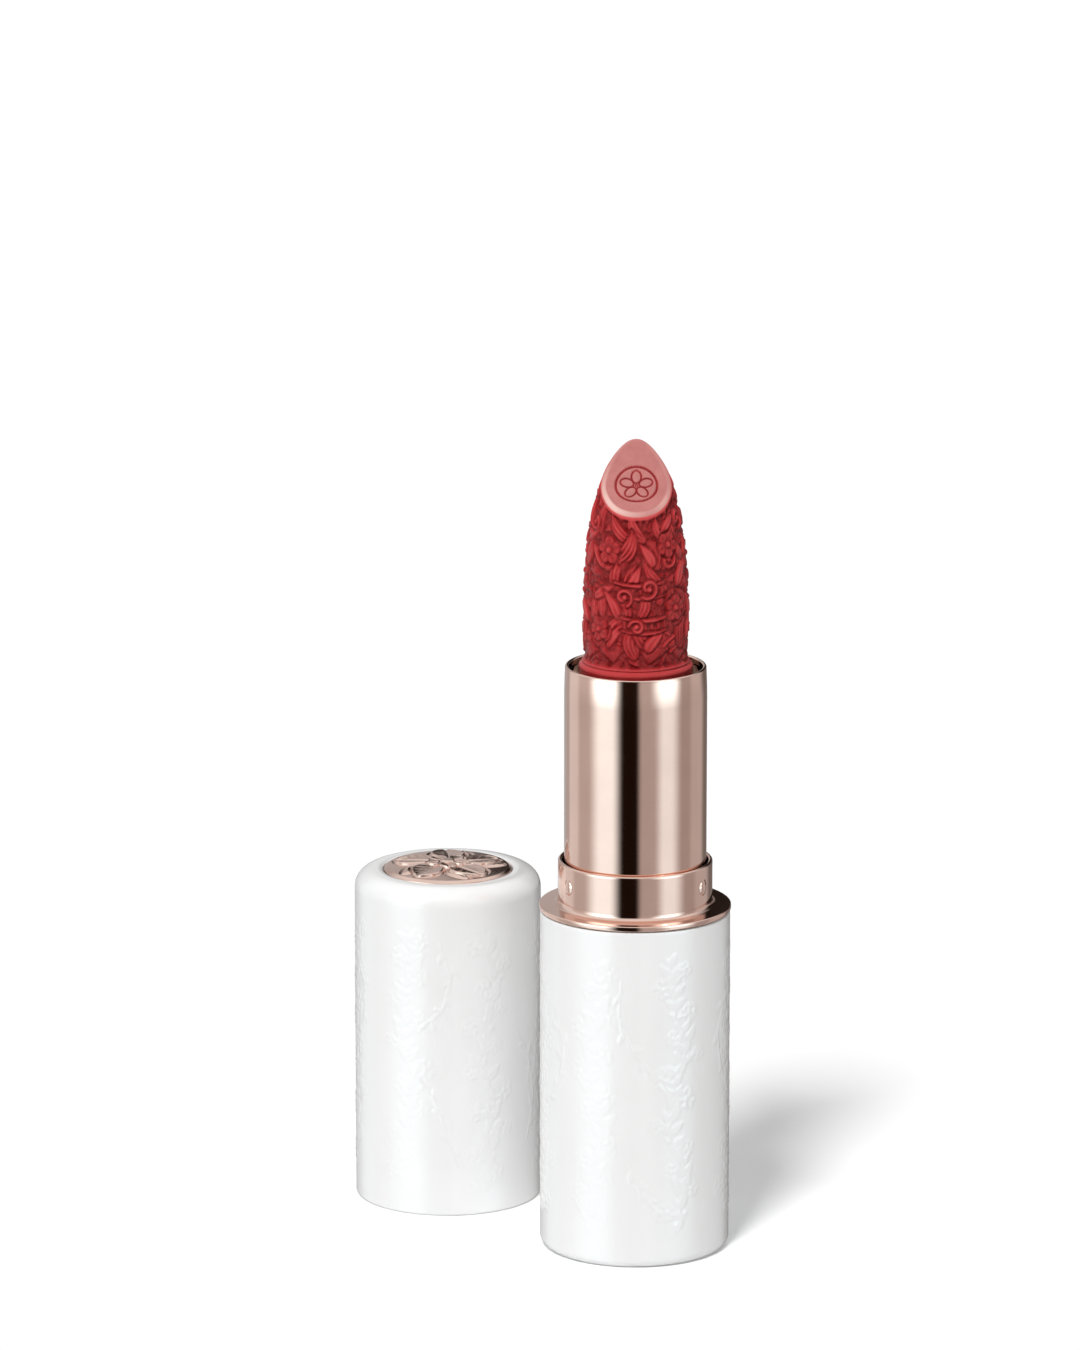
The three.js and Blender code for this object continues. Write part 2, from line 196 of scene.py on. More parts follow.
# ------------------------------------------------------------ relief drawing
class Relief:
    """Heights in millimetres over points (u, v) of an unrolled surface. u wraps round if wrap is given."""

    def __init__(self, u, v, ground=0.0, wrap=None):
        self.shape = np.broadcast(u, v).shape
        self.u = np.broadcast_to(u, self.shape).ravel().astype(float)
        self.v = np.broadcast_to(v, self.shape).ravel().astype(float)
        self.wrap = wrap
        self.h = np.full(self.u.shape, float(ground))

    def near(self, x, y, reach, angle=0.0):
        du = self.u - x
        if self.wrap:
            du = (du + self.wrap / 2) % self.wrap - self.wrap / 2
        dv = self.v - y
        m = np.flatnonzero((np.abs(du) < reach) & (np.abs(dv) < reach))
        du, dv = du[m], dv[m]
        c, s = math.cos(angle), math.sin(angle)
        return m, du * c + dv * s, -du * s + dv * c

    def lay(self, m, d, body, groove=0.0, floor=None, edge=0.05, over=True):
        """Lays a shape on the surface: d is the distance to its outline (negative inside), body its height."""
        h = self.h[m]
        if groove > 0:
            g = 1 - smooth(0, groove, d)
            h = np.where(g > 0, np.minimum(h, h + (floor - h) * g), h)
        inside = 1 - smooth(-edge, edge, d)
        top = body if over else np.maximum(body, h)
        self.h[m] = h + (top - h) * inside

    def leaf(
        self,
        x,
        y,
        angle,
        length,
        width,
        level,
        rise,
        bend=0.0,
        groove=0.0,
        floor=0.0,
        vein=0.5,
        blunt=0.8,
        cupped=False,
        edge=0.05,
        over=True,
    ):
        m, a, b = self.near(x, y, length * 1.15 + groove, angle)
        if not len(m):
            return
        t = a / length
        tc = np.clip(t, 0, 1)
        w = b - bend * length * tc * tc
        half = width * np.sin(math.pi * tc**blunt) ** 0.75 + 1e-4
        d = np.abs(w) - half
        out = np.maximum(-t, t - 1) * length
        d = np.where(out > 0, np.hypot(out, np.maximum(np.abs(w) - 0.02, 0)), d)
        q = np.clip(np.abs(w) / half, 0, 1)
        if cupped:
            body = level + rise * (0.45 + 0.55 * q**2) * (0.7 + 0.3 * tc)
        else:
            body = level + rise * np.sqrt(1 - 0.8 * q * q) * (0.75 + 0.25 * np.sin(math.pi * tc))
        if vein:
            body = body - vein * rise * np.exp(-((w / (0.09 + 0.06 * width)) ** 2)) * (1 - 0.5 * tc)
            ribs = np.sin((a - 0.75 * np.abs(w)) * TAU / max(0.55, length / 6))
            body = body + 0.16 * vein * rise * ribs * q * (1 - q**4)
        self.lay(m, d, body, groove, floor, edge, over)

    def stroke(self, pts, half, level, rise, groove=0.0, floor=0.0, taper=(1, 1), edge=0.05, over=True):
        """A rounded cord along points; half is its half width at the middle, taper the share at each end."""
        pts = np.asarray(pts, float)
        mid = (pts.max(0) + pts.min(0)) / 2
        reach = (pts.max(0) - pts.min(0)).max() / 2 + half + groove + 0.1
        m, a, b = self.near(mid[0], mid[1], reach)
        if not len(m):
            return
        a, b = a + mid[0], b + mid[1]
        best = np.full(len(m), 1e9)
        where = np.zeros(len(m))
        n = len(pts) - 1
        for i in range(n):
            p, q = pts[i], pts[i + 1]
            e = q - p
            t = np.clip(((a - p[0]) * e[0] + (b - p[1]) * e[1]) / max(e @ e, 1e-9), 0, 1)
            dist = np.hypot(a - p[0] - t * e[0], b - p[1] - t * e[1])
            near = dist < best
            best = np.where(near, dist, best)
            where = np.where(near, (i + t) / n, where)
        s = where
        width = half * np.where(
            s < 0.5, taper[0] + (1 - taper[0]) * smooth(0, 0.5, s), 1 + (taper[1] - 1) * smooth(0.5, 1, s)
        )
        q = np.clip(best / np.maximum(width, 1e-3), 0, 1)
        body = level + rise * np.sqrt(1 - 0.85 * q * q)
        self.lay(m, best - width, body, groove, floor, edge, over)

    def dome(self, x, y, radius, level, rise, groove=0.0, floor=0.0, edge=0.05, over=True):
        m, a, b = self.near(x, y, radius + groove + 0.1)
        d = np.hypot(a, b)
        q = np.clip(d / radius, 0, 1)
        self.lay(m, d - radius, level + rise * np.sqrt(1 - 0.9 * q * q), groove, floor, edge, over)

    def fan(self, x, y, angle, radius, spread, ribs, level, rise, groove=0.0, floor=0.0, over=True):
        """A shell of radiating flutes."""
        m, a, b = self.near(x, y, radius * 1.15 + groove, angle)
        if not len(m):
            return
        r = np.hypot(a, b)
        phi = np.arctan2(b, a)
        lobe = np.abs(np.cos(phi / spread * ribs * math.pi / 2))
        rim = radius * (0.94 + 0.06 * lobe)
        d = np.maximum(r - rim, (np.abs(phi) - spread) * np.maximum(r, 0.2))
        q = np.clip(r / radius, 0, 1)
        body = level + rise * (0.3 + 0.7 * lobe**0.7) * (0.35 + 0.65 * q)
        self.lay(m, d, body, groove, floor, 0.05, over)

    def blossom(self, x, y, radius, level, rise, petals=5, turn=0.0, rings=1, groove=0.0, floor=0.0, edge=0.05, over=True):
        for ring in range(rings):
            rr = radius * (1 - 0.34 * ring)
            for k in range(petals):
                a = turn + (k + 0.5 * ring) * TAU / petals
                self.leaf(
                    x,
                    y,
                    a,
                    rr,
                    rr * 1.75 / petals,
                    level + rise * 0.3 * ring,
                    rise,
                    groove=groove,
                    floor=floor,
                    vein=0.35,
                    blunt=1.35,
                    cupped=True,
                    edge=edge,
                    over=over,
                )
        self.dome(x, y, radius * 0.2, level + rise * 0.35 * rings, rise * 0.8, groove * 0.6, floor, edge, over)

    def scroll(self, x, y, radius, turns, start, hand, half, level, rise, groove=0.0, floor=0.0, over=True):
        n = int(18 * turns) + 4
        t = np.linspace(0, 1, n)
        a = start + hand * TAU * turns * t
        r = radius * (1 - 0.86 * t)
        pts = np.stack([x + r * np.cos(a), y + r * np.sin(a)], 1)
        self.stroke(pts, half, level, rise, groove, floor, (0.8, 0.9), 0.05, over)
        self.dome(pts[-1][0], pts[-1][1], half * 1.5, level, rise * 1.2, groove * 0.5, floor, 0.05, over)

    def out(self):
        return self.h.reshape(self.shape)


def garland(rel, x, low, high, seed, height):
    """A climbing garland: a thin winding stem with small leaves on both sides and little five-petal blossoms."""
    rng = np.random.default_rng(seed)
    phase = rng.uniform(0, TAU)

    def stem(v):
        return x + 0.85 * math.sin(phase + 0.38 * (v - low)) + 0.3 * math.sin(1.7 * phase + 0.9 * v)

    rel.stroke([(stem(v), v) for v in np.linspace(low, high, 48)], 0.15, 0.0, height * 0.8, taper=(0.7, 0.6), edge=0.08, over=False)
    v, k = low + 0.4, seed
    while v < high - 0.6:
        for side in (1, -1):
            ang = math.pi / 2 - side * rng.uniform(0.55, 1.25)
            ln = rng.uniform(1.2, 2.3)
            rel.leaf(stem(v), v, ang, ln, ln * rng.uniform(0.2, 0.28), 0.0, height * rng.uniform(0.7, 1.0), bend=side * rng.uniform(0.0, 0.3), vein=0.7, edge=0.08)
        if k % 2 == 0:
            side = 1 if (k // 2) % 2 else -1
            fx = stem(v + 0.6) + side * rng.uniform(1.3, 2.0)
            fv = v + rng.uniform(0.4, 1.2)
            r = rng.uniform(0.95, 1.4)
            rel.stroke([(stem(v), v), (fx, fv)], 0.11, 0.0, height * 0.7, edge=0.07, over=False)
            turn = rng.uniform(0, TAU)
            for i in range(5):
                t = turn + i * TAU / 5
                rel.leaf(fx, fv, t, r, r * 0.42, 0.0, height, vein=0.5, blunt=1.7, cupped=True, edge=0.07)
            rel.dome(fx, fv, r * 0.28, 0.0, height, edge=0.07)
        v += rng.uniform(1.0, 1.55)
        k += 1


def twig(rel, pts, seed, height):
    """A long curved twig with a few leaves that open towards its end."""
    rng = np.random.default_rng(seed)
    pts = np.asarray(pts, float)
    t = np.linspace(0, 1, len(pts))
    f = np.linspace(0, 1, 22)
    fine = np.stack([np.interp(f, t, pts[:, 0]), np.interp(f, t, pts[:, 1])], 1)
    for _ in range(3):
        fine[1:-1] = (fine[:-2] + 2 * fine[1:-1] + fine[2:]) / 4
    rel.stroke(fine, 0.17, 0.0, height, taper=(0.6, 0.5), edge=0.08, over=False)
    for i in range(2, 20, 3):
        d = fine[i + 1] - fine[i]
        side = 1 if i % 2 else -1
        ang = math.atan2(d[1], d[0]) + side * rng.uniform(0.5, 0.9)
        ln = rng.uniform(1.0, 1.9)
        rel.leaf(fine[i][0], fine[i][1], ang, ln, ln * 0.22, 0.0, height, vein=0.6, edge=0.07)


# ---------------------------------------------------------------- materials
def material(name, slots):
    mat = bpy.data.materials.new(name)
    mat.use_nodes = True
    nt = mat.node_tree
    bsdf = nt.nodes["Principled BSDF"]
    for key, value in slots.items():
        bsdf.inputs[key].default_value = value
    return mat, nt, bsdf


def node(nt, kind, **props):
    n = nt.nodes.new(kind)
    for k, v in props.items():
        setattr(n, k, v)
    return n


def noise(nt, scale, detail=3.0, rough=0.5, stretch=None, coord="Object"):
    tc = node(nt, "ShaderNodeTexCoord")
    src = tc.outputs[coord]
    if stretch is not None:
        mp = node(nt, "ShaderNodeMapping")
        mp.inputs["Scale"].default_value = stretch
        nt.links.new(src, mp.inputs["Vector"])
        src = mp.outputs["Vector"]
    n = node(nt, "ShaderNodeTexNoise")
    n.inputs["Scale"].default_value = scale
    n.inputs["Detail"].default_value = detail
    n.inputs["Roughness"].default_value = rough
    nt.links.new(src, n.inputs["Vector"])
    return n.outputs["Fac"]


def ramp(nt, fac, stops, mode="LINEAR"):
    r = node(nt, "ShaderNodeValToRGB")
    r.color_ramp.interpolation = mode
    e = r.color_ramp.elements
    while len(e) > 1:
        e.remove(e[-1])
    for i, (p, c) in enumerate(stops):
        el = e[0] if i == 0 else e.new(p)
        el.position = p
        el.color = (*c, 1) if len(c) == 3 else c
    nt.links.new(fac, r.inputs["Fac"])
    return r.outputs["Color"]


def spread(nt, fac, lo, hi, a=0.3, b=0.7):
    m = node(nt, "ShaderNodeMapRange")
    m.inputs["From Min"].default_value = a
    m.inputs["From Max"].default_value = b
    m.inputs["To Min"].default_value = lo
    m.inputs["To Max"].default_value = hi
    nt.links.new(fac, m.inputs["Value"])
    return m.outputs["Result"]


def bump(nt, bsdf, height, strength, distance, coat=False):
    b = node(nt, "ShaderNodeBump")
    b.inputs["Strength"].default_value = strength
    b.inputs["Distance"].default_value = distance
    nt.links.new(height, b.inputs["Height"])
    nt.links.new(b.outputs["Normal"], bsdf.inputs["Normal"])
    if coat:
        nt.links.new(b.outputs["Normal"], bsdf.inputs["Coat Normal"])
    return b


def mix_colour(nt, fac, a, b):
    m = node(nt, "ShaderNodeMix", data_type="RGBA")
    if isinstance(fac, float):
        m.inputs["Factor"].default_value = fac
    else:
        nt.links.new(fac, m.inputs["Factor"])
    for key, c in ((6, a), (7, b)):
        if isinstance(c, tuple):
            m.inputs[key].default_value = (*c, 1)
        else:
            nt.links.new(c, m.inputs[key])
    return m.outputs[2]


def white_lacquer():
    mat, nt, bsdf = material(
        "white_lacquer", {"Coat Weight": 0.6, "Coat Roughness": 0.04, "IOR": 1.5, "Coat IOR": 1.5}
    )
    colour = ramp(nt, noise(nt, 90, 4), [(0.3, (0.872, 0.872, 0.868)), (0.7, (0.893, 0.893, 0.89))])
    nt.links.new(colour, bsdf.inputs["Base Color"])
    nt.links.new(spread(nt, noise(nt, 500, 4, 0.6), 0.10, 0.17), bsdf.inputs["Roughness"])
    bump(nt, bsdf, noise(nt, 1400, 2), 0.06, 0.00005, coat=True)
    return mat


def rose_gold(name="rose_gold", lo=0.06, hi=0.11, colour=(0.80, 0.545, 0.455)):
    mat, nt, bsdf = material(name, {"Metallic": 1.0})
    deep = tuple(c * 0.95 for c in colour)
    light = tuple(min(1.0, c * 1.04) for c in colour)
    col = ramp(nt, noise(nt, 160, 4), [(0.3, deep), (0.7, light)])
    nt.links.new(col, bsdf.inputs["Base Color"])
    hair = noise(nt, 1, 3, 0.6, stretch=(260, 260, 9000))
    cloud = noise(nt, 220, 3)
    add = node(nt, "ShaderNodeMath", operation="ADD")
    nt.links.new(hair, add.inputs[0])
    nt.links.new(cloud, add.inputs[1])
    nt.links.new(spread(nt, add.outputs[0], lo, hi, 0.7, 1.3), bsdf.inputs["Roughness"])
    bump(nt, bsdf, hair, 0.05, 0.00002)
    return mat


def lipstick():
    mat, nt, bsdf = material(
        "lipstick",
        {
            "Subsurface Weight": 0.03,
            "Subsurface Radius": (0.0012, 0.0003, 0.0002),
            "Subsurface Scale": 1.0,
            "Specular IOR Level": 0.18,
            "Specular Tint": (1.0, 0.42, 0.40, 1.0),
            "Coat Weight": 0.02,
            "Coat Roughness": 0.2,
        },
    )
    # painted shade: the mask says how deep the wax lies, and the colour runs from bright red on the crests to nearly
    # black in the deepest carving, where shade falls
    painted_shade = node(nt, "ShaderNodeAttribute", attribute_name="painted_shade").outputs["Fac"]
    facing = node(nt, "ShaderNodeAttribute", attribute_name="face").outputs["Fac"]
    carved = ramp(
        nt,
        painted_shade,
        [(0.0, (0.60, 0.070, 0.072)), (0.3, (0.42, 0.027, 0.030)), (0.7, (0.23, 0.008, 0.010)), (1.0, (0.15, 0.0035, 0.0045))],
    )
    grain = noise(nt, 900, 4, 0.6)
    flecked = mix_colour(nt, spread(nt, grain, 0.0, 0.3), carved, (0.56, 0.085, 0.085))
    # the flat face is coloured a paler, pinker red than the sides: painted sheen of the light on its smooth face
    face = ramp(nt, noise(nt, 700, 3), [(0.3, (0.48, 0.178, 0.166)), (0.7, (0.55, 0.214, 0.198))])
    # paler bevel: a faint even tone all round, with painted highlights where the light catches it
    pale_bevel_and_highlight_mask = node(nt, "ShaderNodeAttribute", attribute_name="edge").outputs["Fac"]
    edged = mix_colour(nt, pale_bevel_and_highlight_mask, mix_colour(nt, facing, flecked, face), (0.80, 0.52, 0.465))
    nt.links.new(edged, bsdf.inputs["Base Color"])
    nt.links.new(spread(nt, grain, 0.26, 0.40), bsdf.inputs["Roughness"])
    bump(nt, bsdf, noise(nt, 2600, 3), 0.12, 0.00004)
    return mat


def plastic(name, low, high, rough=(0.34, 0.46)):
    mat, nt, bsdf = material(name, {"IOR": 1.48})
    nt.links.new(ramp(nt, noise(nt, 120, 4), [(0.3, low), (0.7, high)]), bsdf.inputs["Base Color"])
    nt.links.new(spread(nt, noise(nt, 700, 3), *rough), bsdf.inputs["Roughness"])
    bump(nt, bsdf, noise(nt, 1800, 3), 0.1, 0.00004)
    return mat


def paper():
    mat, nt, bsdf = material("label_paper", {"IOR": 1.45})
    fibre = noise(nt, 1, 5, 0.7, stretch=(2400, 700, 700))
    base = ramp(nt, fibre, [(0.3, (0.80, 0.78, 0.75)), (0.7, (0.87, 0.86, 0.84))])
    nt.links.new(base, bsdf.inputs["Base Color"])
    nt.links.new(spread(nt, fibre, 0.5, 0.7), bsdf.inputs["Roughness"])
    bump(nt, bsdf, fibre, 0.25, 0.00004)
    return mat


def steel():
    mat, nt, bsdf = material("steel", {"Metallic": 1.0})
    brush = noise(nt, 1, 4, 0.6, stretch=(400, 400, 8000))
    nt.links.new(ramp(nt, brush, [(0.3, (0.36, 0.37, 0.38)), (0.7, (0.5, 0.51, 0.52))]), bsdf.inputs["Base Color"])
    nt.links.new(spread(nt, brush, 0.3, 0.5), bsdf.inputs["Roughness"])
    bump(nt, bsdf, brush, 0.2, 0.00004)
    return mat


WHITE = white_lacquer()
ROSE = rose_gold()
MEDAL = rose_gold("medallion_rose_gold", 0.16, 0.24, (0.79, 0.56, 0.475))
RED = lipstick()
INNER = plastic("inner_plastic", (0.70, 0.67, 0.62), (0.78, 0.75, 0.70))
CAP_INNER = plastic("cap_inner_plastic", (0.62, 0.60, 0.58), (0.70, 0.68, 0.66), (0.28, 0.4))
LABEL = paper()
STEEL = steel()
SILICONE = plastic("silicone", (0.62, 0.61, 0.58), (0.70, 0.69, 0.66), (0.5, 0.62))


def dress(o, mat, body=None, stands_for=()):
    o.data.materials.clear()
    o.data.materials.append(mat)
    if body:
        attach(o, body)
    if stands_for:
        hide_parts(*stands_for)
    return o


# ------------------------------------------------------------- white sleeves
SLEEVE_R = R_OUT - 0.1
SLEEVE_WRAP = TAU * SLEEVE_R
HEIGHT = 0.08


def sleeve_relief(seed, twigs, low, high):
    def relief(theta, rows):
        z = rows[:, 1:]
        wall = (np.abs(rows[:, :1] - SLEEVE_R) < 0.02) & (z > low - 0.5) & (z < high + 0.5)
        u = (theta[None, :] + math.pi / 2) * SLEEVE_R
        rel = Relief(u, z, 0.0, SLEEVE_WRAP)
        n = 7
        for k in range(n):
            x = SLEEVE_WRAP * (k + 0.5) / n
            deep = HEIGHT * (1.0, 0.85, 1.0, 0.85, 1.0, 0.85, 0.55)[k]
            garland(rel, x, low + 1.2 + (k % 3) * 0.7, high - 1.0 - (k % 2) * 1.1, seed + 7 * k, deep)
        for k, pts in enumerate(twigs):
            twig(rel, pts, seed + 300 + k, HEIGHT * 1.15)
        h = rel.out() * wall
        return h * smooth(low, low + 1.0, z) * (1 - smooth(high - 1.0, high, z))

    return relief


base_rows = joined(
    line([0, 0.45], [8.15, 0.45], 5),
    arc(8.3, 0.33, 0.12, 135, 180, 2),
    line([8.2, 0.3], [8.2, 0.12], 1),
    arc(8.35, 0.15, 0.15, 180, 270, 3),
    line([8.5, 0.0], [SLEEVE_R - 1.0, 0.0], 2),
    arc(SLEEVE_R - 1.0, 1.0, 1.0, -90, 0, 12),
    line([SLEEVE_R, 1.0], [SLEEVE_R, BASE_TOP - 0.3], 190),
    arc(SLEEVE_R - 0.3, BASE_TOP - 0.3, 0.3, 0, 90, 6),
    line([SLEEVE_R - 0.3, BASE_TOP], [9.75, BASE_TOP], 1),
    arc(9.75, BASE_TOP - 0.15, 0.15, 90, 180, 2),
    line([9.6, BASE_TOP - 0.15], [9.6, 1.9], 2),
    line([9.6, 1.9], [0, 1.9], 2),
)
base_twigs = [
    [(-1.6, 34.0), (-2.0, 29.5), (-0.8, 26.4), (1.4, 23.6), (3.6, 20.2)],
    [(-0.6, 12.6), (0.4, 9.4), (2.2, 6.9), (4.2, 5.4)],
    [(13.6, 31.0), (11.2, 27.0), (12.0, 22.4), (14.4, 19.0)],
    [(-12.8, 18.0), (-10.0, 21.0), (-9.2, 25.4), (-11.0, 29.6)],
    [(24.0, 12.0), (22.4, 17.0), (25.4, 21.0), (29.4, 24.0)],
    [(-24.0, 30.0), (-26.6, 25.0), (-24.4, 20.0), (-21.0, 16.4)],
]
base_sleeve = lathe(
    "base_sleeve", base_rows, 420, sleeve_relief(31, base_twigs, 2.5, 37.5), sharp=60
)
dress(base_sleeve, WHITE, "base", ["base_shell"])

cap_rows = joined(
    line([0, 37.2], [9.75, 37.2], 2),
    line([9.75, 37.2], [9.75, 0.12], 2),
    arc(9.87, 0.12, 0.12, 180, 270, 2),
    line([9.9, 0.0], [SLEEVE_R - 0.3, 0.0], 2),
    arc(SLEEVE_R - 0.3, 0.3, 0.3, -90, 0, 5),
    line([SLEEVE_R, 0.3], [SLEEVE_R, CAP_TOP - 2.2], 182),
    arc(SLEEVE_R - 2.2, CAP_TOP - 2.2, 2.2, 0, 90, 16),
    line([SLEEVE_R - 2.2, CAP_TOP], [7.85, CAP_TOP], 2),
    arc(7.85, CAP_TOP - 0.25, 0.25, 90, 180, 4),
    line([7.6, CAP_TOP - 0.25], [7.6, 38.2], 2),
    line([7.6, 38.2], [0, 38.2], 3),
)
cap_twigs = [
    [(1.4, 6.0), (0.0, 10.0), (-1.4, 14.0), (-4.0, 17.2)],
    [(-0.8, 33.0), (0.6, 29.0), (-0.4, 25.0), (-3.2, 22.6)],
    [(11.0, 8.0), (12.8, 13.0), (11.4, 18.0), (9.0, 21.6)],
    [(-14.0, 30.0), (-11.6, 26.0), (-12.2, 21.0), (-14.8, 17.4)],
    [(22.0, 30.0), (24.6, 25.6), (23.6, 20.0), (20.8, 16.0)],
    [(-22.6, 8.0), (-25.0, 12.6), (-24.0, 18.0), (-20.6, 21.6)],
]
cap_sleeve = lathe(
    "cap_sleeve",
    cap_rows,
    420,
    sleeve_relief(57, cap_twigs, 1.2, 35.8),
    at=(CAP_X, CAP_Y),
    sharp=60,
)
dress(cap_sleeve, WHITE, "cap", ["cap_shell"])

liner_rows = joined(
    line([0, 36.2], [8.7, 36.2], 3),
    arc(8.7, 35.82, 0.38, 90, 0, 5),
    line([9.08, 35.8], [9.08, 2.3], 6),
    line([9.08, 2.3], [8.98, 1.9], 2),
    line([8.98, 1.9], [8.98, 1.5], 1),
    line([8.98, 1.5], [9.08, 1.15], 2),
    line([9.08, 1.15], [9.12, 0.6], 2),
    arc(9.3, 0.53, 0.18, 180, 270, 3),
    line([9.3, 0.35], [9.5, 0.35], 1),
    arc(9.5, 0.5, 0.15, -90, 0, 3),
    line([9.65, 0.5], [9.65, 37.0], 4),
    line([9.65, 37.0], [0, 37.0], 3),
)
cap_inner = lathe("cap_inner", liner_rows, 192, at=(CAP_X, CAP_Y), sharp=50)
dress(cap_inner, CAP_INNER, "cap", ["cap_liner"])


# ----------------------------------------------------------------- medallion
def medallion():
    segs, rings = 384, 118
    low, top = 38.5, med_hi.z
    radius = 7.45
    theta = np.arange(segs) * TAU / segs
    s = np.linspace(0, 1, rings) ** 0.85
    r = s * radius
    x = r[:, None] * np.cos(theta)
    y = r[:, None] * np.sin(theta)
    dome = low + 0.98 + 0.42 * (1 - (r / radius) ** 2)
    rel = Relief(x, y, 0.0)
    for k in range(5):
        a = TAU * (k + 0.5) / 5 + 0.35
        rel.leaf(2.4 * math.cos(a), 2.4 * math.sin(a), a + 0.3, 4.6, 0.95, -0.06, 0.26, bend=0.2, groove=0.5, floor=-0.14, vein=0.4, blunt=0.9, edge=0.14)
    for k in range(5):
        a = TAU * k / 5 + 0.35
        rel.leaf(0.3 * math.cos(a), 0.3 * math.sin(a), a - 0.12, 6.1, 2.05, -0.05, 0.42, bend=0.14, groove=0.55, floor=-0.12, vein=0.3, blunt=1.45, cupped=True, edge=0.16)
    for k in range(5):
        a = TAU * (k + 0.5) / 5 + 0.35
        rel.leaf(0, 0, a, 2.7, 1.0, 0.12, 0.26, groove=0.35, floor=0.0, vein=0.3, blunt=1.45, cupped=True, edge=0.1)
    rel.dome(0, 0, 0.85, 0.2, 0.3, 0.25, 0.08, edge=0.1)
    h = rel.out() * (1 - smooth(6.5, 7.0, r))[:, None]
    z = dome[:, None] + h
    edge = smooth(radius - 0.5, radius, r)[:, None]
    z = z - 0.22 * edge**2
    z = np.minimum(z, top)
    upper = np.stack([x, y, z], -1)[1:]
    wall = []
    for rr, zz in ((radius, low + 0.6), (radius, low + 0.1), (radius - 0.1, low)):
        wall.append(np.stack([rr * np.cos(theta), rr * np.sin(theta), np.full(segs, zz)], -1))
    body = np.concatenate([upper, np.array(wall)])
    n = len(body)
    verts = np.concatenate([body.reshape(-1, 3), [[0, 0, z[0, 0]]], [[0, 0, low]]])
    verts[:, 0] += CAP_X
    verts[:, 1] += CAP_Y
    quads = grid_faces(n, segs)
    j = np.arange(segs)
    inner = np.stack([(j + 1) % segs, j, np.full(segs, n * segs)], 1)
    b = (n - 1) * segs
    under = np.stack([b + j, b + (j + 1) % segs, np.full(segs, n * segs + 1)], 1)
    return mesh_object("medallion_relief", verts, quads, np.concatenate([inner, under]), 70)


dress(medallion(), MEDAL, "cap", ["cap_medallion"])


# -------------------------------------------------------------------- collar
def collar_relief(theta, rows):
    h = np.zeros((len(rows), len(theta)))
    outer = (rows[:, 0] > 8.8) & (rows[:, 1] > 41.2) & (rows[:, 1] < 45.5)
    for deg in (-150, -30, 90):
        a = (theta - math.radians(deg) + math.pi) % TAU - math.pi
        q = (a[None, :] * 8.85 / 0.72) ** 2 + ((rows[:, 1:] - 43.4) / 0.9) ** 2
        h += 0.22 * np.sqrt(np.clip(1 - q, 0, 1)) * outer[:, None]
    return h


collar_rows = joined(
    line([8.35, 34.8], [8.8, 34.8], 1),
    line([8.8, 34.8], [8.8, 39.9], 3),
    line([8.8, 39.9], [10.85, 39.9], 2),
    arc(10.85, 40.05, 0.15, -90, 0, 4),
    line([11.0, 40.05], [11.0, 40.36], 2),
    arc(10.86, 40.36, 0.14, 0, 82, 5),
    line([10.85, 40.5], [9.46, 40.58], 8),
    arc(9.45, 41.18, 0.6, 268, 180, 12),
    line([8.85, 41.2], [8.85, 45.5], 44),
    arc(8.6, 45.5, 0.25, 0, 180, 12),
    line([8.35, 45.5], [8.35, 34.8], 6),
)
collar = lathe("collar_metal", collar_rows, 448, collar_relief, sharp=50)
dress(collar, ROSE, "base", ["collar"])

# ---------------------------------------------------------------- twist tube
tube_rows = joined(
    line([7.8, 29.6], [TUBE_R, 29.6], 1),
    line([TUBE_R, 29.6], [TUBE_R, RIM_Z - 3.6], 30),
    [
        [TUBE_R - 0.09 * t**1.7, RIM_Z - 3.6 + 3.34 * t]
        for t in np.linspace(0, 1, 19)
    ],
    arc(TUBE_R - 0.305, RIM_Z - 0.215, 0.215, 0, 180, 14),
    line([7.63, RIM_Z - 0.3], [7.63, RIM_Z - 0.7], 1),
    arc(7.83, RIM_Z - 0.7, 0.2, 180, 240, 3),
    line([7.8, RIM_Z - 1.0], [7.8, 29.6], 6),
)
tube = lathe("tube_metal", tube_rows, 320, sharp=50)
dress(tube, ROSE, "twist_tube", ["tube_shell"])

# --------------------------------------------------------------------- label
label_rows = joined(
    line([0, 0.0], [7.9, 0.0], 6),
    arc(7.9, 0.08, 0.08, -90, 0, 3),
    line([7.98, 0.08], [7.98, 0.3], 1),
    line([7.98, 0.3], [0, 0.3], 3),
)
label = lathe("underside_label", label_rows, 128, sharp=50)
dress(label, LABEL, "base", ["shade_label"])


# -------------------------------------------------------------------- bullet
OGIVE = np.array(
    [
        (6.16, 69.7),
        (6.16, 77.75),
        (5.88, 81.25),
        (5.72, 83.35),
        (5.44, 85.35),
        (5.1, 86.85),
        (4.7, 88.15),
        (4.36, 89.5),
        (3.88, 90.5),
        (3.32, 91.5),
        (2.74, 92.5),
        (2.16, 93.5),
        (1.64, 94.4),
        (1.3, 95.1),
        (1.0, 95.6),
    ]
)


def bullet_radius(z):
    fine = np.linspace(69.7, 95.6, 400)
    raw = np.interp(fine, OGIVE[:, 1], OGIVE[:, 0])
    k = np.exp(-0.5 * (np.arange(-14, 15) / 6.0) ** 2)
    soft = np.convolve(np.pad(raw, 14, mode="edge"), k / k.sum(), "valid")
    soft = np.minimum(soft, raw + 0.02)
    return np.interp(z, fine, soft)


def face_z(y):
    return RIM_Z + 23.25 + 1.31 * y + 0.0727 * y * y + 0.155 * np.maximum(y, 0) ** 2


